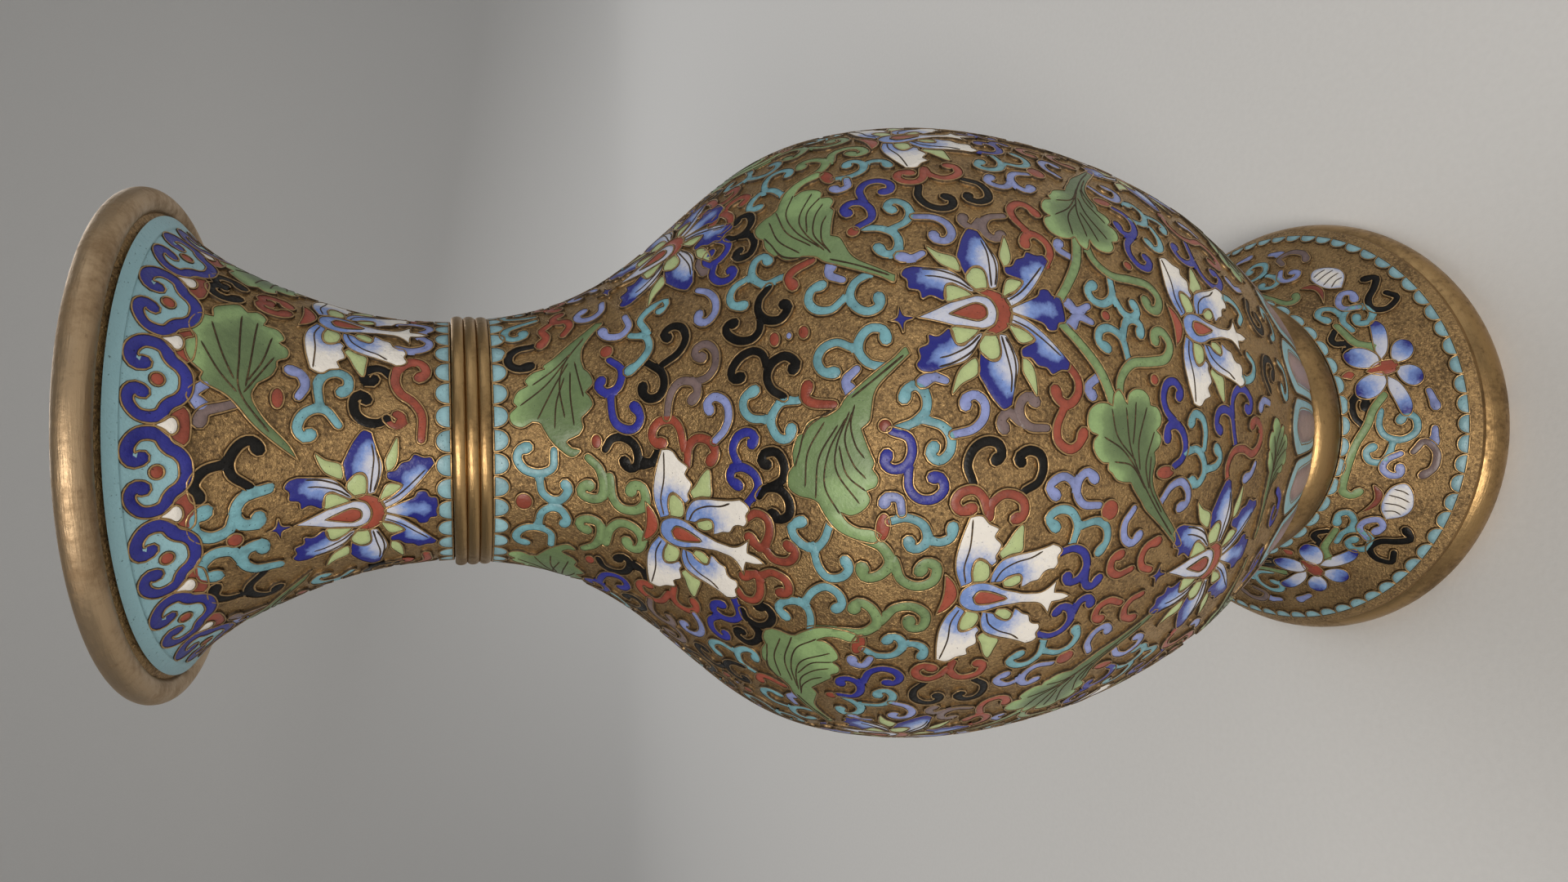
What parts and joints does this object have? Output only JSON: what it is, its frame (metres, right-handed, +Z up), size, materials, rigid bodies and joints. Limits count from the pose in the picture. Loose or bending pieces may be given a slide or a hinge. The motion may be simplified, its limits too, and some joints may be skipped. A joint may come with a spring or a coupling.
{
  "type": "cloisonne vase",
  "caption": "Baluster vase of enamelled copper with a flared mouth, narrow neck, full belly and spreading foot.",
  "frame": {"origin": "centre of the foot, on the surface the vase stands on", "axes": "+Z up along the vase's axis from foot to mouth; -Y faces the viewer; +X to the viewer's right"},
  "size_m": [0.1254, 0.1254, 0.254],
  "materials": {
    "gilt_brass": "satin",
    "gilt_copper": "aged gilt, finely grained",
    "counter_enamel": "glossy",
    "turquoise_enamel": "polished",
    "cobalt_enamel": "polished",
    "lotus_enamel": "polished, shaded from white to cobalt",
    "white_enamel": "polished",
    "green_enamel": "polished",
    "sepal_enamel": "polished",
    "red_enamel": "polished",
    "black_enamel": "polished",
    "lavender_enamel": "polished",
    "lappet_enamel": "polished"
  },
  "bodies": {
    "root": {"base_enamel": "counter_enamel", "base_plate": "gilt_copper", "belly_leaves": "green_enamel", "belly_lotus_petals": "lotus_enamel", "belly_white_petals": "white_enamel", "berries": "red_enamel", "black_scrolls": "black_enamel", "body_lining": "counter_enamel", "border_drops": "white_enamel", "cobalt_scrolls": "cobalt_enamel", "flower_hearts": "red_enamel", "flower_sepals": "sepal_enamel", "foot_buds": "white_enamel", "foot_flower_hearts": "red_enamel", "foot_flower_petals": "lotus_enamel", "foot_lining": "counter_enamel", "foot_low_scallops": "turquoise_enamel", "foot_rim": "gilt_brass", "foot_shell": "gilt_copper", "foot_top_scallops": "turquoise_enamel", "lappet_petals": "lappet_enamel", "lavender_scrolls": "lavender_enamel", "lower_body_shell": "gilt_copper", "lower_leaves": "green_enamel", "lower_lotus_petals": "lotus_enamel", "lower_white_petals": "white_enamel", "mouth_band": "turquoise_enamel", "mouth_rim": "gilt_brass", "neck_collar": "gilt_brass", "neck_leaves": "green_enamel", "neck_lining": "counter_enamel", "neck_lotus_petals": "lotus_enamel", "neck_scallops": "turquoise_enamel", "neck_shell": "gilt_copper", "neck_white_petals": "white_enamel", "red_scrolls": "red_enamel", "ruyi_heads": "turquoise_enamel", "ruyi_outlines": "cobalt_enamel", "shoulder_leaves": "green_enamel", "shoulder_lotus_petals": "lotus_enamel", "shoulder_scallops": "turquoise_enamel", "shoulder_white_petals": "white_enamel", "turquoise_scrolls": "turquoise_enamel", "upper_body_shell": "gilt_copper", "vine_scrolls": "green_enamel", "waist_ring": "gilt_brass"}
  },
  "joints": []
}
